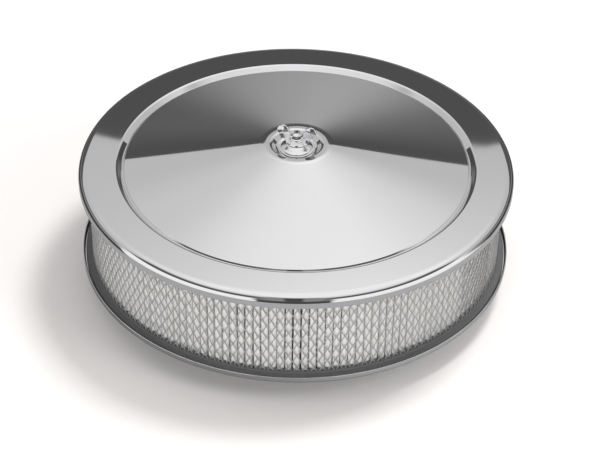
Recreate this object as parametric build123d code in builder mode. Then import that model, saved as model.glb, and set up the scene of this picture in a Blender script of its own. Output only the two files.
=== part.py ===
from build123d import *
import os
from math import atan2, cos, pi, radians, sin

# Round carburetor air cleaner, 14 inch by 3 inch, with a drop base. Millimetres, +Z up.
# The origin is on the stud's axis, in the plane of the base's lowest face.
# The lid and the base are one pressed sheet each. The filter element stands between them.
# A stud that is screwed into the carburetor comes up through the lid to a wing nut.

# Pressed steel sheet of the lid and the base
sheet = 0.8

# Filter element: end seals with a flange outside the screens and a lip inside them
element_height = 79.4
seal_inner_radius = 138.0
seal_floor = 2.6
seal_lip_height = 7.0
seal_lip_width = 2.2
seal_flange_width = 8.4
seal_flange_height = 3.6
pack_depth = 27.0

# Pleated paper pack, folded in V shapes
pleat_count = 170
pleat_gap = 0.8
paper = 0.5

# Screens of expanded metal, opened here as rows of staggered diamonds
screen_thickness = 0.9
screen_gap = 0.4
outer_screen_rows = 3
outer_screen_columns = 32
inner_screen_rows = 2
inner_screen_columns = 24
screen_border = 2.2
strand_width = 2.6

# Base pan
pan_clearance = 1.6
pan_lip_height = 5.4
pan_lip_bend = 2.0
drop_depth = 22.0
seat_margin = 1.2
drop_run = 11.0
pan_bend = 3.0
neck_bore_radius = 65.5
neck_height = 25.0
neck_bend = 3.0
neck_top_bend = 2.8
neck_lip_width = 9.5

# Gasket under the neck's inward lip
gasket_thickness = 2.4
gasket_clearance = 0.3

# Lid
lid_clearance = 1.4
lid_flange_height = 10.5
lid_edge_bend = 4.0
groove_inset = 1.5
groove_land = 3.0
groove_depth = 3.5
groove_run = 4.0
groove_bend = 1.4
cone_foot_inset = 1.4
cone_foot_run = 2.8
cone_foot_rise = 1.6
crown_rise = 20.3
crown_radius = 26.6
crown_bend = 12.0
dimple_rim_radius = 21.6
dimple_floor_radius = 16.0
dimple_depth = 4.6
dimple_bend = 4.0

# Stud, with a quarter inch thread
stud_radius = 3.175
stud_length = 101.6
stud_shank_radius = 2.8
stud_lower_thread = 19.05
stud_upper_thread = 31.75
stud_chamfer = 0.6
stud_hole_clearance = 0.5
stud_end_gap = 0.3

# Sealing washer and wing nut
washer_radius = 11.5
washer_thickness = 1.0
washer_clearance = 0.3
nut_foot_radius = 14.35
nut_foot_edge = 1.3
nut_foot_lift = 0.3
nut_flare_height = 7.0
nut_flare_sag = 1.5
nut_hub_radius = 6.0
nut_height = 11.2
nut_cap = 1.6
nut_edge = 0.8
nut_recess_clearance = 0.5
thread_clearance = 0.05
wing_tip_reach = 11.3
wing_tip_height = 16.5
wing_tip_radius = 5.0
wing_root_reach = 5.6
wing_root_height = 5.6
wing_root_radius = 2.4
wing_thickness = 2.6
wing_angle = 170.0

# Heights, from the floor up
element_bottom = drop_depth + sheet
element_top = element_bottom + element_height
groove_top = element_top + sheet
lid_ring_top = groove_top + groove_depth
lid_flange_bottom = lid_ring_top - lid_flange_height
crown_top = groove_top + crown_rise
nut_seat = crown_top - dimple_depth
nut_foot_bottom = nut_seat + nut_foot_lift
nut_recess_top = nut_seat + washer_thickness
nut_top = nut_seat + nut_height
nut_bore_top = nut_top - nut_cap
stud_top = nut_bore_top - stud_end_gap
stud_bottom = stud_top - stud_length

# Radii that follow from the pieces that meet there
seal_lip_radius = seal_inner_radius + seal_lip_width
seal_pack_radius = seal_lip_radius + pack_depth
seal_flange_radius = seal_pack_radius + seal_flange_width
inner_screen_radius = seal_lip_radius + screen_gap
outer_screen_radius = seal_pack_radius - screen_gap - screen_thickness
pleat_outer_radius = outer_screen_radius - pleat_gap
pleat_inner_radius = inner_screen_radius + screen_thickness + pleat_gap
pleat_depth = pleat_outer_radius - pleat_inner_radius
pan_radius = seal_flange_radius + pan_clearance + sheet
lid_radius = seal_flange_radius + lid_clearance + sheet
seat_inner_radius = seal_inner_radius - seat_margin
throat_radius = neck_bore_radius - neck_lip_width
groove_inner_radius = seal_inner_radius + groove_inset
groove_outer_radius = groove_inner_radius + groove_land
lid_ring_radius = groove_outer_radius + groove_run
cone_foot_radius = groove_inner_radius + cone_foot_inset
cone_radius = cone_foot_radius - cone_foot_run
stud_hole_radius = stud_radius + stud_hole_clearance
nut_recess_radius = washer_radius + nut_recess_clearance
nut_bore_radius = stud_radius + thread_clearance


def revolved_sheet(points, bends, side):
    """A sheet turned about the Z axis: one face follows the points, the other lies on the side."""
    with BuildPart() as pressing:
        with BuildSketch(Plane.XZ):
            with BuildLine():
                face_line = FilletPolyline(points, radius=bends)
                offset(face_line, amount=sheet, side=side, kind=Kind.INTERSECTION)
            make_face()
        revolve(axis=Axis.Z)
    return pressing


def seal_ring(seat, up):
    """A moulded end seal. The pleats and both screens stand in its channel."""
    def level(height):
        return seat + up * height

    with BuildPart() as seal:
        with BuildSketch(Plane.XZ):
            with BuildLine():
                Polyline(
                    (seal_inner_radius, level(0)),
                    (seal_flange_radius, level(0)),
                    (seal_flange_radius, level(seal_flange_height)),
                    (seal_pack_radius, level(seal_flange_height)),
                    (seal_pack_radius, level(seal_floor)),
                    (seal_lip_radius, level(seal_floor)),
                    (seal_lip_radius, level(seal_lip_height)),
                    (seal_inner_radius, level(seal_lip_height)),
                    close=True,
                )
            make_face()
        revolve(axis=Axis.Z)
    return seal


def diamond_screen(radius, bottom, top, rows, columns):
    """A thin wall of flats round a circle, two to a column, opened by rows of staggered diamonds."""
    row_height = (top - bottom - 2 * screen_border) / (rows + 1) * 2
    column_width = 2 * pi * radius / columns
    # A strand lies across the diamonds' slanted sides, so each diamond shrinks by the same share
    slant = atan2(row_height, column_width)
    open_width = column_width - strand_width / sin(slant)
    open_height = row_height - strand_width / cos(slant)
    with BuildPart() as screen:
        with BuildSketch(Plane.XY.offset(bottom)):
            RegularPolygon(radius + screen_thickness, 2 * columns)
            RegularPolygon(radius, 2 * columns, mode=Mode.SUBTRACT)
        extrude(amount=top - bottom)
        for row in range(rows):
            height = bottom + screen_border + (row + 1) * row_height / 2
            for column in range(columns):
                turn = 2 * pi * (column + row % 2 / 2) / columns
                outward = Vector(cos(turn), sin(turn), 0)
                wall = Plane(
                    origin=outward * (radius - screen_thickness) + Vector(0, 0, height),
                    x_dir=(-sin(turn), cos(turn), 0),
                    z_dir=outward,
                )
                with BuildSketch(wall):
                    with BuildLine():
                        Polyline(
                            (open_width / 2, 0),
                            (0, open_height / 2),
                            (-open_width / 2, 0),
                            (0, -open_height / 2),
                            close=True,
                        )
                    make_face()
        extrude(amount=3 * screen_thickness, mode=Mode.SUBTRACT)
    return screen


# Base pan: upturned lip, channel that seats the element, drop, floor, neck and its inward lip
base_pan = revolved_sheet(
    [
        (pan_radius, drop_depth + pan_lip_height),
        (pan_radius, drop_depth),
        (seat_inner_radius, drop_depth),
        (seat_inner_radius - drop_run, 0),
        (neck_bore_radius, 0),
        (neck_bore_radius, neck_height - sheet),
        (throat_radius, neck_height - sheet),
    ],
    [pan_lip_bend, pan_bend, pan_bend, neck_bend, neck_top_bend],
    Side.RIGHT,
)

# Neck gasket, held against the underside of the neck's inward lip
with BuildPart() as neck_gasket:
    with BuildSketch(Plane.XY.offset(neck_height - sheet - gasket_thickness)):
        Circle(neck_bore_radius - neck_top_bend - gasket_clearance)
        Circle(throat_radius + gasket_clearance, mode=Mode.SUBTRACT)
    extrude(amount=gasket_thickness)

# End seals of the element
bottom_seal = seal_ring(element_bottom, 1)
top_seal = seal_ring(element_top, -1)

# Pleated paper: the pleats stand on the floors of the two seals
pleat_step = 360 / pleat_count
fold_angle = atan2(
    pi * (pleat_outer_radius + pleat_inner_radius) / 2 / pleat_count,
    pleat_depth,
)
fold_shift = paper / sin(fold_angle)


def pleat_line(crest, valley):
    """One closed zigzag line with its crests and valleys at two radii."""
    points = []
    for pleat in range(pleat_count):
        crest_turn = radians(pleat * pleat_step)
        valley_turn = radians((pleat + 0.5) * pleat_step)
        points.append((crest * cos(crest_turn), crest * sin(crest_turn)))
        points.append((valley * cos(valley_turn), valley * sin(valley_turn)))
    return points


with BuildPart() as pleated_media:
    with BuildSketch(Plane.XY.offset(element_bottom + seal_floor)):
        with BuildLine():
            Polyline(pleat_line(pleat_outer_radius, pleat_inner_radius + fold_shift), close=True)
        make_face()
        with BuildLine():
            Polyline(pleat_line(pleat_outer_radius - fold_shift, pleat_inner_radius), close=True)
        make_face(mode=Mode.SUBTRACT)
    extrude(amount=element_height - 2 * seal_floor)

# Screens: one stands in each side of the seals' channels
inner_screen = diamond_screen(
    inner_screen_radius,
    element_bottom + seal_floor,
    element_top - seal_floor,
    inner_screen_rows,
    inner_screen_columns,
)
outer_screen = diamond_screen(
    outer_screen_radius,
    element_bottom + seal_floor,
    element_top - seal_floor,
    outer_screen_rows,
    outer_screen_columns,
)

# Lid: flange, flat outer ring, groove that presses on the element, cone and dimple for the nut
lid = revolved_sheet(
    [
        (lid_radius, lid_flange_bottom),
        (lid_radius, lid_ring_top),
        (lid_ring_radius, lid_ring_top),
        (groove_outer_radius, groove_top),
        (cone_foot_radius, groove_top),
        (cone_radius, groove_top + cone_foot_rise),
        (crown_radius, crown_top),
        (dimple_rim_radius, crown_top),
        (dimple_floor_radius, nut_seat),
        (stud_hole_radius, nut_seat),
    ],
    [lid_edge_bend, groove_bend, 0, 0, 0, crown_bend, dimple_bend, dimple_bend],
    Side.LEFT,
)

# Stud: a threaded end for the carburetor, a thinner shank and a threaded end for the nut
with BuildPart() as mounting_stud:
    with BuildSketch(Plane.XY.offset(stud_bottom)):
        Circle(stud_radius)
    extrude(amount=stud_lower_thread)
    with BuildSketch(Plane.XY.offset(stud_top)):
        Circle(stud_radius)
    extrude(amount=-stud_upper_thread)
    stud_ends = mounting_stud.edges().group_by(Axis.Z)
    chamfer(stud_ends[0] + stud_ends[-1], stud_chamfer)
    with BuildSketch(Plane.XY.offset(stud_bottom + stud_lower_thread)):
        Circle(stud_shank_radius)
    extrude(amount=stud_length - stud_lower_thread - stud_upper_thread)

# Sealing washer, captive in the recess under the nut's foot
with BuildPart() as wing_nut_washer:
    with BuildSketch(Plane.XY.offset(nut_seat)):
        Circle(washer_radius)
        Circle(stud_radius + washer_clearance, mode=Mode.SUBTRACT)
    extrude(amount=washer_thickness)

# Wing nut: flared foot, hub with a blind threaded bore, and two wings
flare_bottom = nut_foot_bottom + nut_foot_edge
flare_top = nut_foot_bottom + nut_flare_height
with BuildPart() as wing_nut:
    with BuildSketch(Plane.XZ):
        with BuildLine():
            Polyline(
                (nut_hub_radius, flare_top),
                (nut_hub_radius, nut_top),
                (0, nut_top),
                (0, nut_recess_top),
                (nut_recess_radius, nut_recess_top),
                (nut_recess_radius, nut_foot_bottom),
                (nut_foot_radius, nut_foot_bottom),
                (nut_foot_radius, flare_bottom),
            )
            SagittaArc(
                (nut_foot_radius, flare_bottom),
                (nut_hub_radius, flare_top),
                nut_flare_sag,
            )
        make_face()
    revolve(axis=Axis.Z)
    fillet(wing_nut.edges().group_by(Axis.Z)[-1], nut_edge)
    for side in (0, 180):
        wing_plane = Plane(
            origin=(0, 0, nut_seat),
            x_dir=Vector(1, 0, 0).rotate(Axis.Z, wing_angle + side),
            z_dir=Vector(0, -1, 0).rotate(Axis.Z, wing_angle + side),
        )
        with BuildSketch(wing_plane) as wing_section:
            with Locations((wing_root_reach, wing_root_height)):
                Circle(wing_root_radius)
            with Locations((wing_tip_reach, wing_tip_height)):
                Circle(wing_tip_radius)
            make_hull()
        extrude(amount=wing_thickness / 2, both=True)
    with BuildSketch(Plane.XY.offset(nut_recess_top)):
        Circle(nut_bore_radius)
    extrude(amount=nut_bore_top - nut_recess_top, mode=Mode.SUBTRACT)

os.makedirs("parts", exist_ok=True)
pieces = {
    "base_pan": base_pan,
    "neck_gasket": neck_gasket,
    "bottom_seal": bottom_seal,
    "top_seal": top_seal,
    "pleated_media": pleated_media,
    "inner_screen": inner_screen,
    "outer_screen": outer_screen,
    "lid": lid,
    "mounting_stud": mounting_stud,
    "wing_nut_washer": wing_nut_washer,
    "wing_nut": wing_nut,
}
for node, piece in pieces.items():
    piece.part.label = node
    export_step(piece.part, f"parts/{node}.step")
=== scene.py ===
import math

import bpy
import numpy as np
from mathutils import Matrix, Vector


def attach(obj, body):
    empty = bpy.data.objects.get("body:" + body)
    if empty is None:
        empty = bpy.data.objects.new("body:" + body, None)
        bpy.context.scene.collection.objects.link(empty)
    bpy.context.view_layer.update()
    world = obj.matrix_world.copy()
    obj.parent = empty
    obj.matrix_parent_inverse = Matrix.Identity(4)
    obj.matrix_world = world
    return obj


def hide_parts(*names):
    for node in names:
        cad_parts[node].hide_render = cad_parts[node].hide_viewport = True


# Looks of the carburetor air cleaner. The pieces are written in millimetres, and add_piece makes metres
# of them. Materials, floor, lamps and camera are in metres.
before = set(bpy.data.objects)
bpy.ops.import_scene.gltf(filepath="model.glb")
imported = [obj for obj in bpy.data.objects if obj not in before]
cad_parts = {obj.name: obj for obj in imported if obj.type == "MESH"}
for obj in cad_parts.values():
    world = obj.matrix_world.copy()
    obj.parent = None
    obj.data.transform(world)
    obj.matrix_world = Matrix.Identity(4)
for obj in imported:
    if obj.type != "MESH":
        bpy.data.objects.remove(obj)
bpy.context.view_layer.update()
MM = 0.001
chance = np.random.default_rng(11)

# Lid: radii and heights of its upper face, from the rim to the stud's hole
SHEET = 0.8
LID_R, LID_LOW = 177.8, 96.0
RING_IN, RING_TOP = 146.5, 106.5
GROOVE_OUT, GROOVE_IN, GROOVE_TOP = 142.5, 141.7, 103.0
CONE_OUT, CONE_LOW = 140.7, 104.3
CROWN_OUT, CROWN_IN, CROWN_TOP = 28.0, 20.8, 123.3
CROWN_FALL = 0.027
NUT_SEAT_R, NUT_SEAT = 16.5, 118.7
LID_HOLE_R = 3.675

# Base: radii and heights of its lower face, from the lip to the throat
PAN_R, PAN_TOP = 178.0, 27.4
CHANNEL_IN, CHANNEL_LOW = 136.8, 22.0
DROP_R, DROP_LOW = 125.8, 0.0
NECK_R, NECK_LIP = 65.5, 24.2
THROAT_R = 56.0

# Element
SEAT, ELEMENT_TOP = 22.8, 102.2
SEAL_IN, SEAL_LIP, SEAL_PACK, SEAL_OUT = 138.0, 140.2, 167.2, 175.6
SEAL_FLOOR, SEAL_LIP_HIGH = 2.6, 7.0
SCREEN_LOW = SEAT + SEAL_FLOOR
SCREEN_HIGH = ELEMENT_TOP - SEAL_FLOOR
INNER_SCREEN_R, OUTER_SCREEN_R, SCREEN_THICK = 140.6, 165.9, 0.9
PLEAT_IN, PLEAT_OUT = 142.3, 165.1
# The outer mesh and the paper's crests stand this much further out than their solids
REACH = 3.2

# Washer, gasket and stud
WASHER_HOLE_R, WASHER_R, WASHER_THICK = 3.475, 11.5, 1.0
GASKET_IN, GASKET_OUT, GASKET_LOW = 56.3, 62.4, 21.8
STUD_LOW, STUD_HIGH = 26.4, 128.0
LOWER_THREAD, UPPER_THREAD = 19.05, 31.75


# Meshes
def add_piece(name, points, faces, normals, body, slot, material, nodes):
    """A mesh piece that rides on a body and stands for CAD nodes."""
    mesh = bpy.data.meshes.new(name)
    mesh.from_pydata((np.asarray(points) * MM).tolist(), [], [list(f) for f in faces])
    mesh.validate()
    mesh.update()
    mesh.polygons.foreach_set("use_smooth", [normals is not None] * len(mesh.polygons))
    if normals is not None:
        mesh.normals_split_custom_set_from_vertices(np.asarray(normals).tolist())
    mesh.materials.append(material)
    piece = bpy.data.objects.new(name, mesh)
    bpy.context.scene.collection.objects.link(piece)
    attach(piece, body)
    if nodes:
        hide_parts(*nodes)


def unit(vector):
    return vector / np.linalg.norm(vector)


def left_of(vector):
    return np.array([-vector[1], vector[0]])


def turned(vector, angle):
    c, s = math.cos(angle), math.sin(angle)
    return np.array([vector[0] * c - vector[1] * s, vector[0] * s + vector[1] * c])


def bent_line(points, radii, step=0.14):
    """Points and unit normals (to the left of travel) of a line whose inner corners are arcs."""
    points = [np.array(p, float) for p in points]
    last = unit(points[1] - points[0])
    out, normals = [points[0]], [left_of(last)]
    for corner, radius, following in zip(points[1:-1], radii, points[2:]):
        ahead = unit(following - corner)
        turn = math.atan2(last[0] * ahead[1] - last[1] * ahead[0], float(last @ ahead))
        reach = radius * math.tan(abs(turn) / 2)
        start = corner - last * reach
        centre = start + math.copysign(1, turn) * radius * left_of(last)
        count = max(4, math.ceil(abs(turn) / step))
        for k in range(count + 1):
            angle = turn * k / count
            out.append(centre + turned(start - centre, angle))
            normals.append(left_of(turned(last, angle)))
        last = ahead
    out.append(points[-1])
    normals.append(left_of(last))
    return np.array(out), np.array(normals)


def sheet_loop(points, radii, side):
    """Closed section of a sheet with round cut edges.

    The line is one face, and the sheet lies on the left of travel (side 1) or on the right (side -1).
    """
    line, left = bent_line(points, radii)
    away = -side * left
    far = line - SHEET * away
    half = SHEET / 2

    def cut_edge(end, outward):
        middle = (line[end] + far[end]) / 2
        turns = np.linspace(0, math.pi, 7)[1:-1]
        spoke, forward = line[end] - middle, outward * half
        edge = np.array([middle + spoke * math.cos(t) + forward * math.sin(t) for t in turns])
        return edge, (edge - middle) / half

    end_points, end_normals = cut_edge(-1, unit(line[-1] - line[-2]))
    start_points, start_normals = cut_edge(0, unit(line[0] - line[1]))
    loop = np.vstack([line, end_points, far[::-1], start_points[::-1]])
    normals = np.vstack([away, end_normals, -away[::-1], start_normals[::-1]])
    return loop, normals


def round_loop(corners, radii, step=0.3):
    """Closed section with rounded corners, travelled counter-clockwise, normals outward."""
    corners = [np.array(c, float) for c in corners]
    middle = (corners[0] + corners[-1]) / 2
    line, left = bent_line([middle, *corners, middle], radii, step)
    return line[:-1], -left[:-1]


def revolve(loop, normals, segments):
    """Points, faces and normals of a closed section turned about the Z axis."""
    turns = np.linspace(0, 2 * math.pi, segments, endpoint=False)
    c, s = np.cos(turns)[:, None], np.sin(turns)[:, None]
    r, z = loop[:, 0][None], loop[:, 1][None]
    points = np.stack([r * c, r * s, z + 0 * c], -1).reshape(-1, 3)
    nr, nz = normals[:, 0][None], normals[:, 1][None]
    directions = np.stack([nr * c, nr * s, nz + 0 * c], -1).reshape(-1, 3)
    n = len(loop)
    i, j = np.meshgrid(np.arange(segments), np.arange(n), indexing="ij")
    i2, j2 = (i + 1) % segments, (j + 1) % n
    faces = np.stack([i * n + j, i2 * n + j, i2 * n + j2, i * n + j2], -1).reshape(-1, 4)
    if left_of(loop[1] - loop[0]) @ normals[0] > 0:
        faces = faces[:, ::-1]
    return points, faces, directions


def add_turned(name, section, segments, body, slot, material, node):
    """A piece that is a surface of revolution."""
    add_piece(name, *revolve(*section, segments), body, slot, material, [node])


def edge_crossings(value, grid):
    """For each cell of a grid, the sum and the number of the points where its edges cross zero."""
    shape = np.array(value.shape) - 1
    total, count = np.zeros((*shape, 3)), np.zeros(shape)
    for axis in range(3):
        lead = np.moveaxis(value, axis, 0)
        spots = np.moveaxis(grid, axis, 0)
        v0, v1 = lead[:-1], lead[1:]
        crossed = (v0 < 0) != (v1 < 0)
        share = np.where(crossed, v0 / np.where(crossed, v0 - v1, 1), 0)
        spot = spots[:-1] + (spots[1:] - spots[:-1]) * share[..., None]
        for a in (0, 1):
            for b in (0, 1):
                second, third = slice(a, a + lead.shape[1] - 1), slice(b, b + lead.shape[2] - 1)
                window = (slice(None), second, third)
                hit = np.moveaxis(crossed[window], 0, axis)
                total += np.moveaxis(spot[window], 0, axis) * hit[..., None]
                count += hit
    return total, count


def net_quads(inside, number):
    """A quad across each inner edge of the grid that crosses the surface, facing outward."""
    quads = []
    for axis in range(3):
        window = [slice(1, -1)] * 3
        window[axis] = slice(None)
        lead = np.moveaxis(inside[tuple(window)], axis, 0)
        change = lead[:-1] != lead[1:]
        cells = np.moveaxis(number, axis, 0)
        corners = [cells[:, :-1, :-1], cells[:, 1:, :-1], cells[:, 1:, 1:], cells[:, :-1, 1:]]
        quad = np.stack([c[change] for c in corners], -1)
        backward = lead[:-1][change] == (axis == 1)
        quad[backward] = quad[backward][:, ::-1]
        quads.append(quad)
    return np.vstack(quads)


def gradient(field, points, reach=0.02):
    steps = reach * np.eye(3)
    return np.stack([(field(points + d) - field(points - d)) / (2 * reach) for d in steps], -1)


def surface_net(field, low, high, step):
    """Points, quads and normals of the surface where a field of points crosses zero."""
    axes = [np.arange(a, b + step, step) for a, b in zip(low, high)]
    grid = np.stack(np.meshgrid(*axes, indexing="ij"), -1)
    value = field(grid)
    total, count = edge_crossings(value, grid)
    mixed = count > 0
    number = np.full(count.shape, -1)
    number[mixed] = np.arange(mixed.sum())
    points = total[mixed] / count[mixed][:, None]
    # The points settle on the surface in a few steps
    for _ in range(4):
        g = gradient(field, points)
        points = points - g * (field(points) / np.maximum((g * g).sum(-1), 0.05))[:, None]
    g = gradient(field, points)
    return points, net_quads(value < 0, number), g / np.linalg.norm(g, axis=-1, keepdims=True)


# Materials
class Nodes:
    """Builds a node tree from short expressions."""

    def __init__(self, tree):
        self.tree = tree

    def node(self, kind, **inputs):
        made = self.tree.nodes.new(kind)
        for key, value in inputs.items():
            self.feed(made.inputs[key.replace("_", " ")], value)
        return made

    def feed(self, socket, value):
        if isinstance(value, bpy.types.NodeSocket):
            self.tree.links.new(value, socket)
        elif isinstance(value, Term):
            self.tree.links.new(value.socket, socket)
        else:
            socket.default_value = value

    def math(self, operation, *values):
        made = self.tree.nodes.new("ShaderNodeMath")
        made.operation = operation
        for socket, value in zip(made.inputs, values):
            self.feed(socket, value)
        return Term(self, made.outputs[0])

    def clamp(self, value, low, high):
        return self.math("MINIMUM", self.math("MAXIMUM", value, low), high)

    def ramp(self, value, low, high, out_low=0.0, out_high=1.0):
        """Goes smoothly from one value to another while the input crosses a range."""
        made = self.tree.nodes.new("ShaderNodeMapRange")
        made.interpolation_type = "SMOOTHSTEP"
        for socket, v in zip(made.inputs, (value, low, high, out_low, out_high)):
            self.feed(socket, v)
        return Term(self, made.outputs[0])

    def mix(self, share, first, second):
        """The first colour where the share is 0 and the second where it is 1."""
        made = self.tree.nodes.new("ShaderNodeMix")
        made.data_type = "RGBA"
        for key, value in (("Factor", share), ("A", first), ("B", second)):
            self.feed(made.inputs[key], value)
        return made.outputs["Result"]

    def output(self, kind, surface):
        self.tree.links.new(surface, self.tree.nodes.new(kind).inputs["Surface"])


class Term:
    """A value in a node tree that takes part in sums and products."""

    def __init__(self, nodes, socket):
        self.nodes, self.socket = nodes, socket

    def __add__(self, other):
        return self.nodes.math("ADD", self, other)

    def __sub__(self, other):
        return self.nodes.math("SUBTRACT", self, other)

    def __rsub__(self, other):
        return self.nodes.math("SUBTRACT", other, self)

    def __mul__(self, other):
        return self.nodes.math("MULTIPLY", self, other)

    def __truediv__(self, other):
        return self.nodes.math("DIVIDE", self, other)

    __radd__, __rmul__ = __add__, __mul__

    def bell(self, middle, width):
        """1 at the middle, falling off on both sides over a width."""
        off = (self - middle) / width
        return self.nodes.math("POWER", math.e, off * off * -1.0)

    def blend(self, other, share):
        """This term where the share is 0 and the other where it is 1."""
        return self + (other - self) * share


# Scale of the fine bumps, per metre, and their height in metres
BUMP_SCALE, BUMP_HEIGHT = 900.0, 0.0003


def material(name, colour, dark, rough, rough_span, metallic=0.0, grain=900.0, bump=0.0):
    """A shader whose colour and roughness vary finely over the surface."""
    made = bpy.data.materials.new(name)
    made.use_nodes = True
    nodes = Nodes(made.node_tree)
    shader = made.node_tree.nodes["Principled BSDF"]
    place = nodes.node("ShaderNodeTexCoord").outputs["Object"]
    fine = nodes.node("ShaderNodeTexNoise", Vector=place, Scale=grain, Detail=4.0).outputs["Fac"]
    slow = nodes.node("ShaderNodeTexNoise", Vector=place, Scale=grain / 9, Detail=3.0).outputs["Fac"]
    nodes.feed(shader.inputs["Base Color"], nodes.mix(fine, (*dark, 1), (*colour, 1)))
    roughness = nodes.ramp(slow, 0.3, 0.7, rough - rough_span, rough + rough_span)
    nodes.feed(shader.inputs["Roughness"], roughness)
    shader.inputs["Metallic"].default_value = metallic
    if bump:
        bumps = nodes.node("ShaderNodeTexNoise", Vector=place, Scale=BUMP_SCALE, Detail=3.0).outputs["Fac"]
        raised = nodes.node("ShaderNodeBump", Height=bumps, Distance=BUMP_HEIGHT, Strength=bump)
        nodes.feed(shader.inputs["Normal"], raised.outputs["Normal"])
    return made


CHROME = material("polished_chrome", (0.86, 0.86, 0.87), (0.84, 0.84, 0.85),
                  rough=0.035, rough_span=0.012, metallic=1.0, grain=60.0)
NUT_CHROME = material("cast_chrome", (0.86, 0.86, 0.87), (0.83, 0.83, 0.84),
                      rough=0.07, rough_span=0.03, metallic=1.0, grain=300.0)
PAN_CHROME = material("pan_chrome", (0.80, 0.80, 0.81), (0.78, 0.78, 0.79),
                      rough=0.06, rough_span=0.02, metallic=1.0, grain=60.0)
STEEL = material("expanded_steel", (0.56, 0.56, 0.56), (0.40, 0.40, 0.40),
                 rough=0.38, rough_span=0.08, metallic=0.5, grain=1400.0, bump=0.2)
PAPER = material("filter_paper", (0.86, 0.86, 0.85), (0.80, 0.80, 0.785),
                 rough=0.85, rough_span=0.08, grain=1500.0, bump=0.5)
RUBBER = material("seal_rubber", (0.135, 0.135, 0.138), (0.095, 0.095, 0.098),
                  rough=0.45, rough_span=0.08, grain=700.0, bump=0.35)
WASHER_RUBBER = material("washer_rubber", (0.035, 0.035, 0.036), (0.02, 0.02, 0.02),
                         rough=0.5, rough_span=0.08, bump=0.2)
GASKET = material("gasket_rubber", (0.06, 0.06, 0.06), (0.035, 0.035, 0.035),
                  rough=0.7, rough_span=0.08, bump=0.4)
ZINC = material("zinc_steel", (0.62, 0.62, 0.64), (0.52, 0.52, 0.52),
                rough=0.27, rough_span=0.07, metallic=1.0, grain=800.0, bump=0.1)

# Lid and base, each an outline with the radii of its bends
lid_line = [
    (LID_R, LID_LOW + SHEET / 2),
    (LID_R, RING_TOP),
    (RING_IN, RING_TOP),
    (GROOVE_OUT, GROOVE_TOP),
    (GROOVE_IN, GROOVE_TOP),
    (CONE_OUT, CONE_LOW),
    (CROWN_OUT, CROWN_TOP),
    (CROWN_IN, CROWN_TOP - CROWN_FALL),
    (NUT_SEAT_R, NUT_SEAT),
    (LID_HOLE_R + SHEET / 2, NUT_SEAT),
]
lid_bends = [6.5, 2.6, 0.3, 0.3, 0.7, 34.0, 3.0, 3.0]
lid_section = sheet_loop(lid_line, lid_bends, 1)
add_turned("lid_pressing", lid_section, 360, "cleaner", "lid_chrome", CHROME, "lid")

pan_line = [
    (PAN_R, PAN_TOP - SHEET / 2),
    (PAN_R, CHANNEL_LOW),
    (CHANNEL_IN, CHANNEL_LOW),
    (DROP_R, DROP_LOW),
    (NECK_R, DROP_LOW),
    (NECK_R, NECK_LIP),
    (THROAT_R + SHEET / 2, NECK_LIP),
]
pan_bends = [2.0, 3.0, 3.0, 3.0, 2.8]
pan_section = sheet_loop(pan_line, pan_bends, -1)
add_turned("base_pressing", pan_section, 360, "cleaner", "pan_chrome", PAN_CHROME, "base_pan")


# Seals, washer and gasket
def seal_section(seat, up):
    """Section of an end seal: flange, a rise where the rubber wets the mesh, floor and inner lip."""
    wall = SEAL_PACK + REACH
    flange, slope, rise = 3.2, 3.7, 4.6
    corners = [
        (SEAL_IN, 0), (SEAL_OUT, 0), (SEAL_OUT, flange), (wall + 1.0, slope), (wall, rise),
        (wall - 1.0, rise), (wall - 1.6, SEAL_FLOOR), (SEAL_LIP, SEAL_FLOOR),
        (SEAL_LIP, SEAL_LIP_HIGH), (SEAL_IN, SEAL_LIP_HIGH),
    ]
    corners = [(r, seat + up * height) for r, height in corners]
    radii = [0.7, 0.7, 0.9, 0.4, 0.35, 0.35, 0.3, 0.3, 0.7, 0.7]
    if up < 0:
        corners, radii = corners[::-1], radii[::-1]
    return round_loop(corners, radii)


def ring_section(inner, outer, low, high, radii):
    return round_loop([(inner, low), (outer, low), (outer, high), (inner, high)], radii)


for node, seat, up in (("bottom_seal", SEAT, 1), ("top_seal", ELEMENT_TOP, -1)):
    add_turned(node + "_moulded", seal_section(seat, up), 240, "cleaner", "seal_rubber", RUBBER, node)

washer_section = ring_section(WASHER_HOLE_R, WASHER_R, NUT_SEAT, NUT_SEAT + WASHER_THICK,
                              [0.25, 0.3, 0.3, 0.25])
add_turned("sealing_washer", washer_section, 96, "washer", "washer_rubber", WASHER_RUBBER,
           "wing_nut_washer")
gasket_section = ring_section(GASKET_IN, GASKET_OUT, GASKET_LOW, NECK_LIP, [0.5, 0.5, 0.3, 0.3])
add_turned("neck_gasket_ring", gasket_section, 160, "cleaner", "gasket_rubber", GASKET, "neck_gasket")

# Screens of expanded metal
HALF_ROWS = 13
OUTER_COLUMNS, INNER_COLUMNS = 160, 136
OUTER_BOND, INNER_BOND = 0.7, 0.8
STRAND, STRAND_THICK, STRAND_TWIST = 0.85, 0.5, 0.12
# Where two strands meet, each is this share of its width beside the middle
BESIDE = 0.42
MESH_INSET = 0.2
MESH_LOW, MESH_HIGH = SCREEN_LOW + MESH_INSET, SCREEN_HIGH - MESH_INSET
# The seam's overlap is a few strands that lie on the mesh
SEAM_TURN = math.radians(-38.5)
SEAM_STRANDS, SEAM_OUT, SEAM_THICK, SEAM_TWIST = 14, 0.62, 0.4, 0.05
# The rubber that climbs between the strands starts just inside the seal's rise
RUBBER_FOOT, RUBBER_OUT, RUBBER_THICK = SEAT + 4.3, 0.05, 1.0


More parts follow.
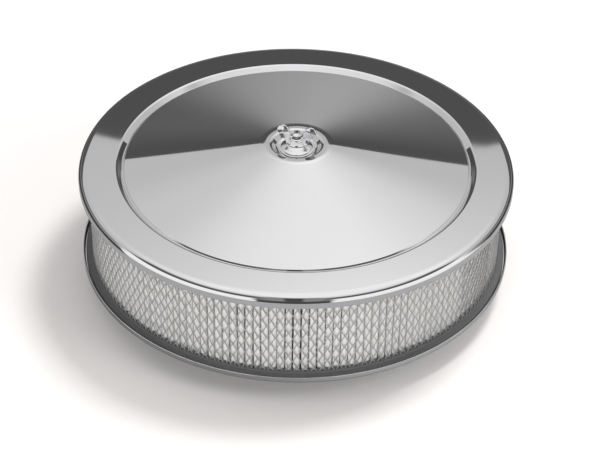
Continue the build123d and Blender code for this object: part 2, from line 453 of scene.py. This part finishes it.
def strand_paths(radius, columns, bond):
    """Paths of the zigzag strands, unrolled: position round the circle in millimetres, and height."""
    cell = 2 * math.pi * radius / columns
    rise = (MESH_HIGH - MESH_LOW) / HALF_ROWS
    paths = []
    for column in range(columns):
        for side in (1, -1):
            path = []
            for row in range(HALF_ROWS + 1):
                odd = row % 2
                u = (column + side * odd / 2) * cell + (1 - 2 * odd) * side * STRAND * BESIDE
                z = MESH_LOW + row * rise
                if row > 0:
                    path.append((u, z - bond / 2))
                if row < HALF_ROWS:
                    path.append((u, z + bond / 2))
            paths.append(np.array(path))
    return paths


def strands(paths, radius, thick, twist):
    """Ribbons of square section along unrolled paths, wrapped round a circle."""
    points, faces = [], []
    base = 0
    for number, path in enumerate(paths):
        side = 1 if number % 2 == 0 else -1
        u, z = path[:, 0], path[:, 1]
        corners = []
        for across, out in ((-1, -1), (1, -1), (1, 1), (-1, 1)):
            turn = (u + across * STRAND / 2) / radius
            r = radius + out * thick / 2 + across * side * twist
            corners.append(np.stack([r * np.cos(turn), r * np.sin(turn), z], -1))
        points.append(np.stack(corners, 1).reshape(-1, 3))
        top = base + 4 * (len(path) - 1)
        for ring in range(base, top, 4):
            for a in range(4):
                b = (a + 1) % 4
                faces.append((ring + a, ring + b, ring + 4 + b, ring + 4 + a))
        faces.append((base + 3, base + 2, base + 1, base))
        faces.append((top, top + 1, top + 2, top + 3))
        base = top + 4
    return np.vstack(points), faces


def expanded_metal(name, radius, columns, bond, node):
    """A screen with staggered diamonds, of which the paths are returned."""
    paths = strand_paths(radius, columns, bond)
    points, faces = strands(paths, radius, STRAND_THICK, STRAND_TWIST)
    add_piece(name, points, faces, None, "cleaner", "screen_steel", STEEL, [node])
    return paths


def climbing_rubber(radius, columns):
    """A thin ring of rubber whose upper edge climbs unevenly up the strands."""
    low, dip, bevel = RUBBER_FOOT - 0.8, RUBBER_FOOT + 0.5, 0.3
    crests = RUBBER_FOOT + 2.2 + 1.5 * chance.random(columns + 1)
    inside = radius - RUBBER_THICK
    steps = 4
    count = columns * steps
    points, faces = [], []
    for k in range(count):
        share = (k % steps) / steps
        top = dip + (crests[k // steps] - dip) * abs(1 - 2 * share) ** 1.3
        turn = 2 * math.pi * k / count
        c, s = math.cos(turn), math.sin(turn)
        for r, z in ((radius, low), (radius, top), (inside, top - bevel), (inside, low)):
            points.append((r * c, r * s, z))
        here, there = 4 * k, 4 * ((k + 1) % count)
        for a in range(4):
            b = (a + 1) % 4
            faces.append((here + a, there + a, there + b, here + b))
    return np.array(points), faces


outer_r = OUTER_SCREEN_R + SCREEN_THICK / 2 + REACH
inner_r = INNER_SCREEN_R + SCREEN_THICK / 2
paths = expanded_metal("outer_expanded_metal", outer_r, OUTER_COLUMNS, OUTER_BOND, "outer_screen")
seam_paths = [path + (outer_r * SEAM_TURN, 0) for path in paths[:SEAM_STRANDS]]
points, faces = strands(seam_paths, outer_r + SEAM_OUT, SEAM_THICK, SEAM_TWIST)
add_piece("screen_seam", points, faces, None, "cleaner", "screen_steel", STEEL, [])
points, faces = climbing_rubber(outer_r + RUBBER_OUT, OUTER_COLUMNS)
add_piece("rubber_in_the_mesh", points, faces, None, "cleaner", "seal_rubber", RUBBER, [])
expanded_metal("inner_expanded_metal", inner_r, INNER_COLUMNS, INNER_BOND, "inner_screen")

# Pleated paper
FOLDS, PAPER_ROWS = 170, 6
PAPER_THICK, FOLD_INSET = 0.45, 0.3
CREST_HALF, CREST_ROUND, VALLEY_HALF = 2.45, 1.9, 0.9


def fold_line(r_in, r_out, offsets, widths):
    """The paper's middle line at one height: round crests, moved and widened, and round valleys."""
    pitch = 2 * math.pi / FOLDS
    line = []
    for k in range(FOLDS):
        crest, valley = k * pitch + offsets[k], (k + 0.5) * pitch
        half = CREST_HALF + widths[k]
        depth = min(half, CREST_ROUND)
        for degrees in np.linspace(-90, 90, 9):
            a = math.radians(degrees)
            line.append((r_out - depth + math.cos(a) * depth, crest + math.sin(a) * half / r_out))
        for degrees in np.linspace(-90, 90, 5):
            a = math.radians(degrees)
            r = r_in + VALLEY_HALF - math.cos(a) * VALLEY_HALF
            line.append((r, valley + math.sin(a) * VALLEY_HALF / r_in))
    r, turn = np.array(line).T
    return np.stack([r * np.cos(turn), r * np.sin(turn)], -1)


def pleats(r_in, r_out):
    """Folded paper, slightly uneven round the circle and over the height."""
    shift = chance.normal(0, 0.28, (PAPER_ROWS, FOLDS))
    lean = chance.normal(0, 0.30, FOLDS)
    width = np.clip(chance.normal(0, 0.16, FOLDS), -0.35, 0.25)
    points, normals = [], []
    for row, z in enumerate(np.linspace(SCREEN_LOW, SCREEN_HIGH, PAPER_ROWS)):
        above_middle = row / (PAPER_ROWS - 1) - 0.5
        line = fold_line(r_in, r_out, (0.35 * shift[row] + lean * above_middle) / r_out, width)
        tangent = np.roll(line, -1, 0) - np.roll(line, 1, 0)
        tangent /= np.linalg.norm(tangent, axis=1, keepdims=True)
        out = np.stack([tangent[:, 1], -tangent[:, 0]], -1)
        for s in (1, -1):
            face = line + s * out * PAPER_THICK / 2
            points.append(np.column_stack([face, np.full(len(line), z)]))
            normals.append(np.column_stack([s * out, np.zeros(len(line))]))
    n = len(points[0])
    index = np.arange(n)
    following = (index + 1) % n
    faces = []
    for row in range(PAPER_ROWS - 1):
        a, b = 2 * row * n, 2 * (row + 1) * n
        faces.append(np.stack([a + index, a + following, b + following, b + index], -1))
        a, b = a + n, b + n
        faces.append(np.stack([a + following, a + index, b + index, b + following], -1))
    top = 2 * (PAPER_ROWS - 1) * n
    faces.append(np.stack([index, n + index, n + following, following], -1))
    faces.append(np.stack([top + following, top + n + following, top + n + index, top + index], -1))
    return np.vstack(points), np.vstack(faces), np.vstack(normals)


points, faces, normals = pleats(PLEAT_IN + FOLD_INSET, PLEAT_OUT - FOLD_INSET + REACH)
add_piece("pleated_paper", points, faces, normals, "cleaner", "filter_paper", PAPER, ["pleated_media"])


# Stud
def stud():
    """Threaded ends and a plain shank, as one turned surface with a helical thread."""
    pitch, major, minor, shank = 1.27, 3.17, 2.55, 2.8
    around = 24
    heights = np.arange(STUD_LOW, STUD_HIGH + 1e-6, pitch / 8)
    turns = np.linspace(0, 2 * math.pi, around, endpoint=False)
    z, turn = np.meshgrid(heights, turns, indexing="ij")
    phase = (z / pitch - turn / (2 * math.pi)) % 1
    wave = np.clip(np.abs(phase - 0.5) * 2.6 - 0.15, 0, 1)
    threaded = (z < STUD_LOW + LOWER_THREAD) | (z > STUD_HIGH - UPPER_THREAD)
    r = np.where(threaded, major - (major - minor) * wave, shank)
    r = np.minimum(r, minor + np.minimum(z - STUD_LOW, STUD_HIGH - z))
    points = np.stack([r * np.cos(turn), r * np.sin(turn), z], -1).reshape(-1, 3)
    faces = []
    top = (len(heights) - 1) * around
    for low in range(0, top, around):
        high = low + around
        for j in range(around):
            k = (j + 1) % around
            faces.append((low + j, low + k, high + k, high + j))
    faces.append(tuple(range(around - 1, -1, -1)))
    faces.append(tuple(top + j for j in range(around)))
    return points, faces


points, faces = stud()
add_piece("threaded_stud", points, faces, None, "cleaner", "stud_zinc", ZINC, ["mounting_stud"])

# Wing nut, with its heights above its seat
NUT_TURN = math.radians(-10)
FOOT_R, FOOT_LOW, FOOT_HIGH = 14.3, 0.32, 3.2
HUB_R, HUB_HALF = 6.5, 5.6
EAR_ROOT, EAR_ROOT_R = (5.6, 5.6), 2.4
EAR_TIP, EAR_TIP_R = (11.3, 16.5), 4.95
RECESS_R, RECESS_DEEP = 12.0, 1.0
BORE_R, BORE_DEEP = 3.24, 9.6


def smooth_min(a, b, k):
    h = np.clip(0.5 + 0.5 * (b - a) / k, 0, 1)
    return b + (a - b) * h - k * h * (1 - h)


def rounded_corner(over_x, over_y, radius):
    """Distance to a form with a rounded edge, from how far a point is over each of two sides."""
    qx, qy = over_x + radius, over_y + radius
    outside = np.hypot(np.maximum(qx, 0), np.maximum(qy, 0))
    return outside + np.minimum(np.maximum(qx, qy), 0) - radius


def foot_field(r, z):
    """The flared foot, whose top sweeps up to the hub."""
    sweep_high, sweep_r, sweep_run = 4.2, 5.6, 2.1
    sweep = sweep_high * np.exp(-np.maximum(r - sweep_r, 0) / sweep_run)
    bell = 1.45 * ((r / FOOT_R) ** 8 + (np.maximum(z - sweep, 0) / FOOT_HIGH) ** 2 - 1)
    return -smooth_min(-np.clip(bell, -3, 8), z - FOOT_LOW, 0.35)


def hub_field(r, z):
    """The round hub, with a shallow hollow in its top."""
    hub = rounded_corner(r - HUB_R, np.abs(z - HUB_HALF) - HUB_HALF, 1.5)
    return hub + 0.5 * np.exp(-(r / 2.2) ** 2) * np.clip((z - 9) / 2, 0, 1)


def ear_outline(x, z):
    """Distance to the hull of two circles, in the plane of a wing."""
    axis = np.array(EAR_TIP) - np.array(EAR_ROOT)
    length = np.linalg.norm(axis)
    axis = axis / length
    px, pz = x - EAR_ROOT[0], z - EAR_ROOT[1]
    along = px * axis[0] + pz * axis[1]
    aside = np.abs(-px * axis[1] + pz * axis[0])
    b = (EAR_ROOT_R - EAR_TIP_R) / length
    a = math.sqrt(1 - b * b)
    k = -aside * b + along * a
    low = np.hypot(aside, along) - EAR_ROOT_R
    high = np.hypot(aside, along - length) - EAR_TIP_R
    side = aside * a + along * b - EAR_ROOT_R
    return np.where(k < 0, low, np.where(k > a * length, high, side))


def ears_field(x, y, z):
    """Both wings, thickest in the middle of their outline."""
    c, s = math.cos(NUT_TURN), math.sin(NUT_TURN)
    along, across = x * c + y * s, -x * s + y * c
    outline = ear_outline(np.abs(along), z)
    half = 0.95 + 0.5 * np.sqrt(np.clip(-outline / EAR_TIP_R, 0.01, 1))
    return rounded_corner(outline, np.abs(across) - half, 0.8)


def nut_field(p):
    """Near its surface, the distance to the whole casting with its recess and bore."""
    x, y, z = p[..., 0], p[..., 1], p[..., 2] - NUT_SEAT
    r = np.hypot(x, y)
    body = smooth_min(foot_field(r, z), hub_field(r, z), 1.0)
    whole = smooth_min(body, ears_field(x, y, z), 1.6)
    recess = np.maximum(r - RECESS_R, z - RECESS_DEEP)
    bore = np.maximum(r - BORE_R, z - BORE_DEEP)
    return np.maximum(whole, -np.minimum(recess, bore))


step = 0.3
points, faces, normals = surface_net(
    nut_field, (-17.5, -15.5, NUT_SEAT - 1.0), (17.5, 15.5, NUT_SEAT + 22.5), step)
add_piece("wing_nut_casting", points, faces, normals, "nut", "nut_chrome", NUT_CHROME, ["wing_nut"])


# Floor
def floor_with_painted_reflections():
    """Matte and near white to the camera. The chrome sees painted reflections in it: a painted grey shade
    near the object, and painted bright and dark bands beyond that glow for mirror rays only.
    """
    paint = bpy.data.materials.new("pale_floor_painted_reflections")
    paint.use_nodes = True
    paint.node_tree.nodes.clear()
    nodes = Nodes(paint.node_tree)
    place = nodes.node("ShaderNodeTexCoord").outputs["Object"]
    split = nodes.node("ShaderNodeSeparateXYZ", Vector=place).outputs
    right, back = Term(nodes, split[0]), Term(nodes, split[1])
    ray = nodes.node("ShaderNodeLightPath").outputs
    grain = nodes.node("ShaderNodeTexNoise", Vector=place, Scale=40.0, Detail=2.0).outputs["Fac"]
    tone = nodes.mix(grain, (0.790, 0.760, 0.745, 1), (0.800, 0.770, 0.755, 1))

    # The front of the floor ends at a slanting line. Behind that line the painted grey shade that the chrome
    # mirrors is smaller, and the far floor there is a painted dark reflection.
    away = nodes.math("SQRT", right * right + back * back)
    flank = nodes.ramp(right, -0.4, 0.4, -0.13, -0.02)
    beside = nodes.ramp(back, flank - 0.02, flank + 0.02)
    far = nodes.math("MAXIMUM", nodes.ramp(away, 0.42, 0.50), beside * nodes.ramp(away, 0.315, 0.37))
    # Far in front the floor glows bright for mirror rays only, a painted bright reflection, apart from a
    # wedge toward the camera that is a painted dark reflection
    wedge = nodes.math("ABSOLUTE", right) + back * 0.3
    lit = (1.0 - beside) * nodes.ramp(wedge, -0.03, 0.0)
    # The painted grey shade that mirror rays see in place of the floor's tone: 0.33 near the object, fading
    # to black where far reaches 1.
    painted_grey_shade = nodes.node("ShaderNodeCombineXYZ")
    for socket in painted_grey_shade.inputs:
        nodes.feed(socket, (1.0 - far) * 0.33)

    colour = nodes.mix(ray["Is Glossy Ray"], tone, painted_grey_shade.outputs[0])
    matte = nodes.node("ShaderNodeBsdfDiffuse", Color=colour)
    seen = nodes.math("MAXIMUM", ray["Is Camera Ray"], ray["Is Transmission Ray"])
    # Camera and transmission rays get a faint even glow that whitens the floor. Mirror rays get a painted
    # reflection instead: a strong glow on the far floor where lit is set, a faint one elsewhere.
    strength = seen * 0.09 + ray["Is Glossy Ray"] * (far * (lit * 0.9 + 0.06))
    glow = nodes.node("ShaderNodeEmission", Color=(1, 1, 1, 1), Strength=strength)
    both = nodes.node("ShaderNodeAddShader")
    nodes.feed(both.inputs[0], matte.outputs[0])
    nodes.feed(both.inputs[1], glow.outputs[0])
    nodes.output("ShaderNodeOutputMaterial", both.outputs[0])
    return paint


FLOOR_R = 9.0
bpy.ops.mesh.primitive_circle_add(vertices=96, radius=FLOOR_R, fill_type="NGON", location=(0, 0, 0))
floor = bpy.context.object
floor.name = "floor"
floor.data.materials.append(floor_with_painted_reflections())


# Studio round the object. Its directions are in degrees: the azimuth is 0 at the back of the photo and 90 at
# its right, the spread is the azimuth to either side, and the height is above the horizon.
def back_wall(nodes, azimuth, spread, height):
    """A lit panel whose lower edge falls to both sides, over a dark band with a glow in its middle."""
    beyond = nodes.clamp(spread - 7.0, 0.0, 38.0)
    edge = 34.35 - beyond * 0.235 - beyond * beyond * 0.006
    glow = height.bell(15.0, 6.5)
    under = (0.071 + glow * azimuth.bell(2.0, 15.0) * 0.473
             + spread * nodes.ramp(height, 30.0, 22.0, 0.0, 0.00315) - glow * 0.208)
    under = nodes.math("MAXIMUM", under, 0.06)
    sideways = nodes.clamp(azimuth / 20.0, -1.0, 1.0)
    centre = azimuth.bell(3.0, 9.0)
    over = (0.472 + 0.141 * nodes.ramp(height, 34.0, 46.0) + 0.182 * nodes.ramp(height, 44.0, 58.0)
            + sideways * 0.063 * nodes.ramp(height, 34.0, 50.0)
            - sideways * sideways * 0.023 * nodes.ramp(height, 38.0, 52.0)
            + centre * 0.267 * nodes.ramp(height, 34.0, 41.0)
            - centre * 0.274 * nodes.ramp(height, 44.0, 56.0))
    return under.blend(over, nodes.ramp(height, edge - 0.05, edge + 0.05))


def side_walls(nodes, x, spread, height):
    """Dark below and light above, with a bright field low down."""
    edge = nodes.ramp(x, -0.3, 0.3, 25.0, 27.0)
    field = (nodes.ramp(height, edge, edge - 4.0)
             * nodes.ramp(spread, 62.0, 68.0) * nodes.ramp(spread, 164.0, 160.0))
    return (0.085 + 0.60 * nodes.ramp(height, 40.0, 56.0)).blend(0.85, field)


def front_wall(nodes, height):
    """Dark, with a small step low down and a larger one high up."""
    return 0.07 + 0.15 * nodes.ramp(height, 8.0, 16.0) + 0.50 * nodes.ramp(height, 54.0, 64.0)


def add_studio():
    """The soft bands that the chrome reflects. The camera itself sees plain white."""
    world = bpy.data.worlds.new("studio")
    bpy.context.scene.world = world
    world.use_nodes = True
    world.node_tree.nodes.clear()
    nodes = Nodes(world.node_tree)
    direction = nodes.node("ShaderNodeTexCoord").outputs["Generated"]
    split = nodes.node("ShaderNodeSeparateXYZ", Vector=direction).outputs
    x, y, z = (Term(nodes, split[k]) for k in range(3))
    degrees = 180 / math.pi
    azimuth = nodes.math("ARCTAN2", x, y) * degrees
    height = nodes.math("ARCSINE", nodes.clamp(z, -1.0, 1.0)) * degrees
    spread = nodes.math("ABSOLUTE", azimuth)

    sides = side_walls(nodes, x, spread, height)
    rest = sides.blend(front_wall(nodes, height), nodes.ramp(spread, 158.0, 168.0))
    walls = back_wall(nodes, azimuth, spread, height).blend(rest, nodes.ramp(spread, 84.0, 96.0))
    ceiling = nodes.ramp(height, 60.0, 75.0, 0.78, 0.82)
    room = walls.blend(ceiling, nodes.ramp(height, 58.0, 72.0))
    # A dark upright strip where the camera stands
    strip = (nodes.ramp(nodes.math("ABSOLUTE", x), 0.09, 0.05)
             * nodes.ramp(height, 56.0, 52.0) * nodes.ramp(y, 0.0, -0.04))
    room = room.blend(0.06, strip * nodes.ramp(height, 6.0, 14.0))

    seen = nodes.node("ShaderNodeLightPath").outputs["Is Camera Ray"]
    strength = (room / 0.85).blend(1.0, seen)
    background = nodes.node("ShaderNodeBackground", Color=(1, 1, 1, 1), Strength=strength)
    nodes.output("ShaderNodeOutputWorld", background.outputs[0])


def add_lamp(name, azimuth, elevation, distance, size, power):
    """A square area lamp that faces the object and isn't mirrored in it."""
    data = bpy.data.lights.new(name, "AREA")
    data.size = size
    data.energy = power
    made = bpy.data.objects.new(name, data)
    a, e = math.radians(azimuth), math.radians(elevation)
    toward = Vector((math.sin(a) * math.cos(e), math.cos(a) * math.cos(e), math.sin(e)))
    made.location = toward * distance
    made.rotation_mode = "QUATERNION"
    made.rotation_quaternion = toward.to_track_quat("Z", "Y")
    made.visible_glossy = False
    bpy.context.scene.collection.objects.link(made)


add_studio()
LAMP_DISTANCE = 2.4
add_lamp("key", 50.0, 66.5, LAMP_DISTANCE, 0.6, 33.5)
add_lamp("cross", 122.0, 40.0, LAMP_DISTANCE, 0.8, 11.0)
add_lamp("fill", 198.0, 14.0, LAMP_DISTANCE, 0.8, 17.5)

# Camera, fitted to the ellipses of lid and mesh in the photo
LENS = 108.756
SENSOR = 36.0
DISTANCE = 1.5310
ELEVATION = math.radians(37.53)
ROLL = math.radians(1.04)
TARGET = Vector((0.00408, 0.0, 0.02692))
forward = Vector((0, math.cos(ELEVATION), -math.sin(ELEVATION)))
right = Vector((1, 0, 0))
up = Vector((0, math.sin(ELEVATION), math.cos(ELEVATION)))
rolled_right = right * math.cos(ROLL) + up * math.sin(ROLL)
rolled_up = up * math.cos(ROLL) - right * math.sin(ROLL)
eye = TARGET - forward * DISTANCE
camera_data = bpy.data.cameras.new("camera")
camera_data.sensor_width = SENSOR
camera_data.lens = LENS
camera_data.clip_start = 0.05
camera_data.clip_end = 60.0
camera = bpy.data.objects.new("camera", camera_data)
bpy.context.scene.collection.objects.link(camera)
camera.matrix_world = Matrix((
    (rolled_right.x, rolled_up.x, -forward.x, eye.x),
    (rolled_right.y, rolled_up.y, -forward.y, eye.y),
    (rolled_right.z, rolled_up.z, -forward.z, eye.z),
    (0, 0, 0, 1),
))
bpy.context.scene.camera = camera
bpy.context.scene.view_settings.view_transform = "Standard"
